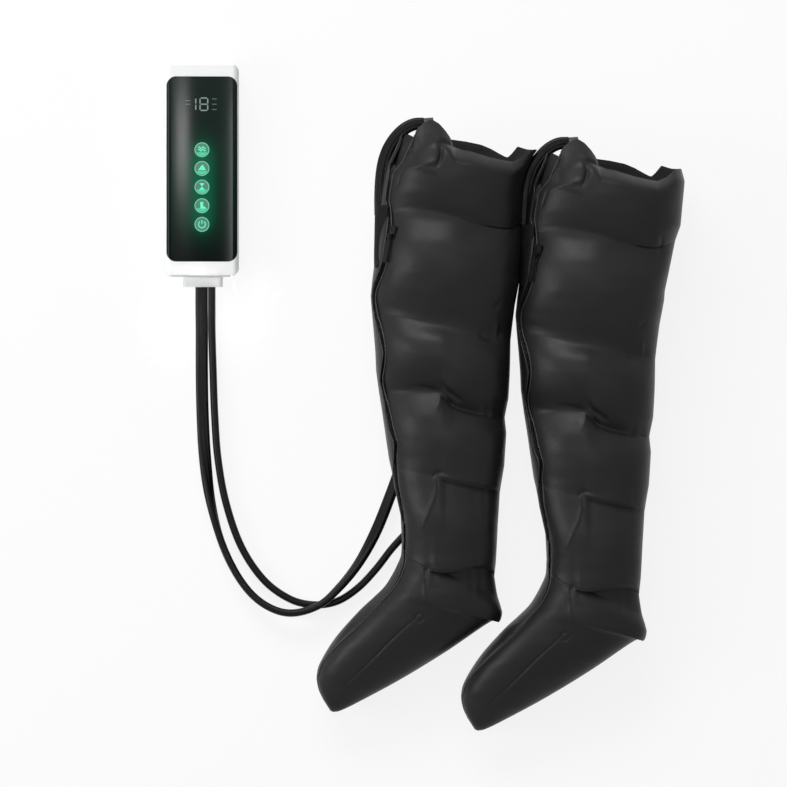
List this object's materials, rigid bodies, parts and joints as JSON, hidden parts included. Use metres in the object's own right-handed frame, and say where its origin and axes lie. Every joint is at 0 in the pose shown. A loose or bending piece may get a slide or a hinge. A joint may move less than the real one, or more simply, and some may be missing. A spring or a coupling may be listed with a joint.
{
  "type": "compression therapy pump",
  "caption": "White handset air pump with a gloss touch panel and round keys, joined by flat black hoses to a pair of black chambered compression boots, laid flat.",
  "frame": {"origin": "centre of the grip pad on the handset's back, on the surface that the set lies on", "axes": "+Y to the handset's top end, +Z out of its panel, +X across it towards the boots"},
  "size_m": [0.6485, 0.8333, 0.1541],
  "materials": {
    "case_white": "satin moulded ABS",
    "panel_gloss": "high gloss",
    "key_lit": "gloss, lit symbols",
    "board": "solder mask",
    "dark_plastic": "moulded",
    "cell_wrap": "shrink wrap",
    "silicone": "translucent silicone",
    "steel": "plain",
    "copper": "enamelled wire",
    "seal_rubber": "matte",
    "hose_rubber": "satin, ribbed",
    "boot_fabric": "coated nylon, satin",
    "zip": "moulded coil"
  },
  "bodies": {
    "boots": {"plug_body": "case_white", "plug_nipples": "steel", "left_hose": "hose_rubber", "right_hose": "hose_rubber", "left_rim_hose": "hose_rubber", "right_rim_hose": "hose_rubber", "left_chamber_1": "boot_fabric", "left_chamber_2": "boot_fabric", "left_chamber_3": "boot_fabric", "left_chamber_4": "boot_fabric", "left_chamber_5": "boot_fabric", "left_chamber_foot": "boot_fabric", "left_zip_tape": "zip", "left_fittings": "dark_plastic", "right_chamber_1": "boot_fabric", "right_chamber_2": "boot_fabric", "right_chamber_3": "boot_fabric", "right_chamber_4": "boot_fabric", "right_chamber_5": "boot_fabric", "right_chamber_foot": "boot_fabric", "right_zip_tape": "zip", "right_fittings": "dark_plastic"},
    "handset": {"rear_casing": "case_white", "front_casing": "case_white", "gloss_panel": "panel_gloss", "key_mat": "silicone", "main_board": "board", "display": "dark_plastic", "key_lights": "key_lit", "buzzer": "dark_plastic", "battery_pack": "cell_wrap", "battery_tray": "dark_plastic", "pump_head": "dark_plastic", "pump_motor": "steel", "pump_cradle": "silicone", "valve_manifold": "case_white", "valve_coils": "copper", "air_tubes": "silicone", "pressure_sensor": "dark_plastic", "charge_socket": "dark_plastic", "air_socket": "case_white", "socket_seals": "seal_rubber", "case_screws": "steel", "board_screws": "steel", "grip_pad": "seal_rubber"},
    "mode_key": {"mode_key": "key_lit"},
    "pressure_key": {"pressure_key": "key_lit"},
    "timer_key": {"timer_key": "key_lit"},
    "zone_key": {"zone_key": "key_lit"},
    "power_key": {"power_key": "key_lit"},
    "rotor": {"pump_rotor": "steel"},
    "left_plunger": {"left_valve_plunger": "steel"},
    "right_plunger": {"right_valve_plunger": "steel"},
    "left_slider": {"left_zip_slider": "zip"},
    "left_puller": {"left_zip_puller": "zip"},
    "right_slider": {"right_zip_slider": "zip"},
    "right_puller": {"right_zip_puller": "zip"}
  },
  "joints": [
    {"name": "handset_unplug", "type": "slide", "parent": "boots", "child": "handset", "axis": [0, 1, 0], "range_m": [0, 0.02]},
    {"name": "mode_press", "type": "slide", "parent": "handset", "child": "mode_key", "axis": [0, 0, -1], "range_m": [0, 0.0008], "stiffness_N_per_m": 1800},
    {"name": "pressure_press", "type": "slide", "parent": "handset", "child": "pressure_key", "axis": [0, 0, -1], "range_m": [0, 0.0008], "stiffness_N_per_m": 1800},
    {"name": "timer_press", "type": "slide", "parent": "handset", "child": "timer_key", "axis": [0, 0, -1], "range_m": [0, 0.0008], "stiffness_N_per_m": 1800},
    {"name": "zone_press", "type": "slide", "parent": "handset", "child": "zone_key", "axis": [0, 0, -1], "range_m": [0, 0.0008], "stiffness_N_per_m": 1800},
    {"name": "power_press", "type": "slide", "parent": "handset", "child": "power_key", "axis": [0, 0, -1], "range_m": [0, 0.0008], "stiffness_N_per_m": 1800},
    {"name": "pump_spin", "type": "hinge", "parent": "handset", "child": "rotor", "pos_m": [-0.01, 0.002, 0.0192], "axis": [0, 1, 0], "continuous": true},
    {"name": "left_valve_stroke", "type": "slide", "parent": "handset", "child": "left_plunger", "axis": [0, 1, 0], "range_m": [0, 0.0012], "stiffness_N_per_m": 900},
    {"name": "right_valve_stroke", "type": "slide", "parent": "handset", "child": "right_plunger", "axis": [0, 1, 0], "range_m": [0, 0.0012], "stiffness_N_per_m": 900},
    {"name": "left_zip_run", "type": "slide", "parent": "boots", "child": "left_slider", "axis": [-0.1856, -0.9816, -0.0454], "range_m": [0, 0.05]},
    {"name": "left_puller_swing", "type": "hinge", "parent": "left_slider", "child": "left_puller", "pos_m": [0.23072, -0.08349, 0.12311], "axis": [-0.6396, 0.1558, -0.7528], "range_deg": [0, 150]},
    {"name": "right_zip_run", "type": "slide", "parent": "boots", "child": "right_slider", "axis": [-0.1856, -0.9816, -0.0454], "range_m": [0, 0.05]},
    {"name": "right_puller_swing", "type": "hinge", "parent": "right_slider", "child": "right_puller", "pos_m": [0.41197, -0.10724, 0.12311], "axis": [-0.6396, 0.1558, -0.7528], "range_deg": [0, 150]}
  ]
}
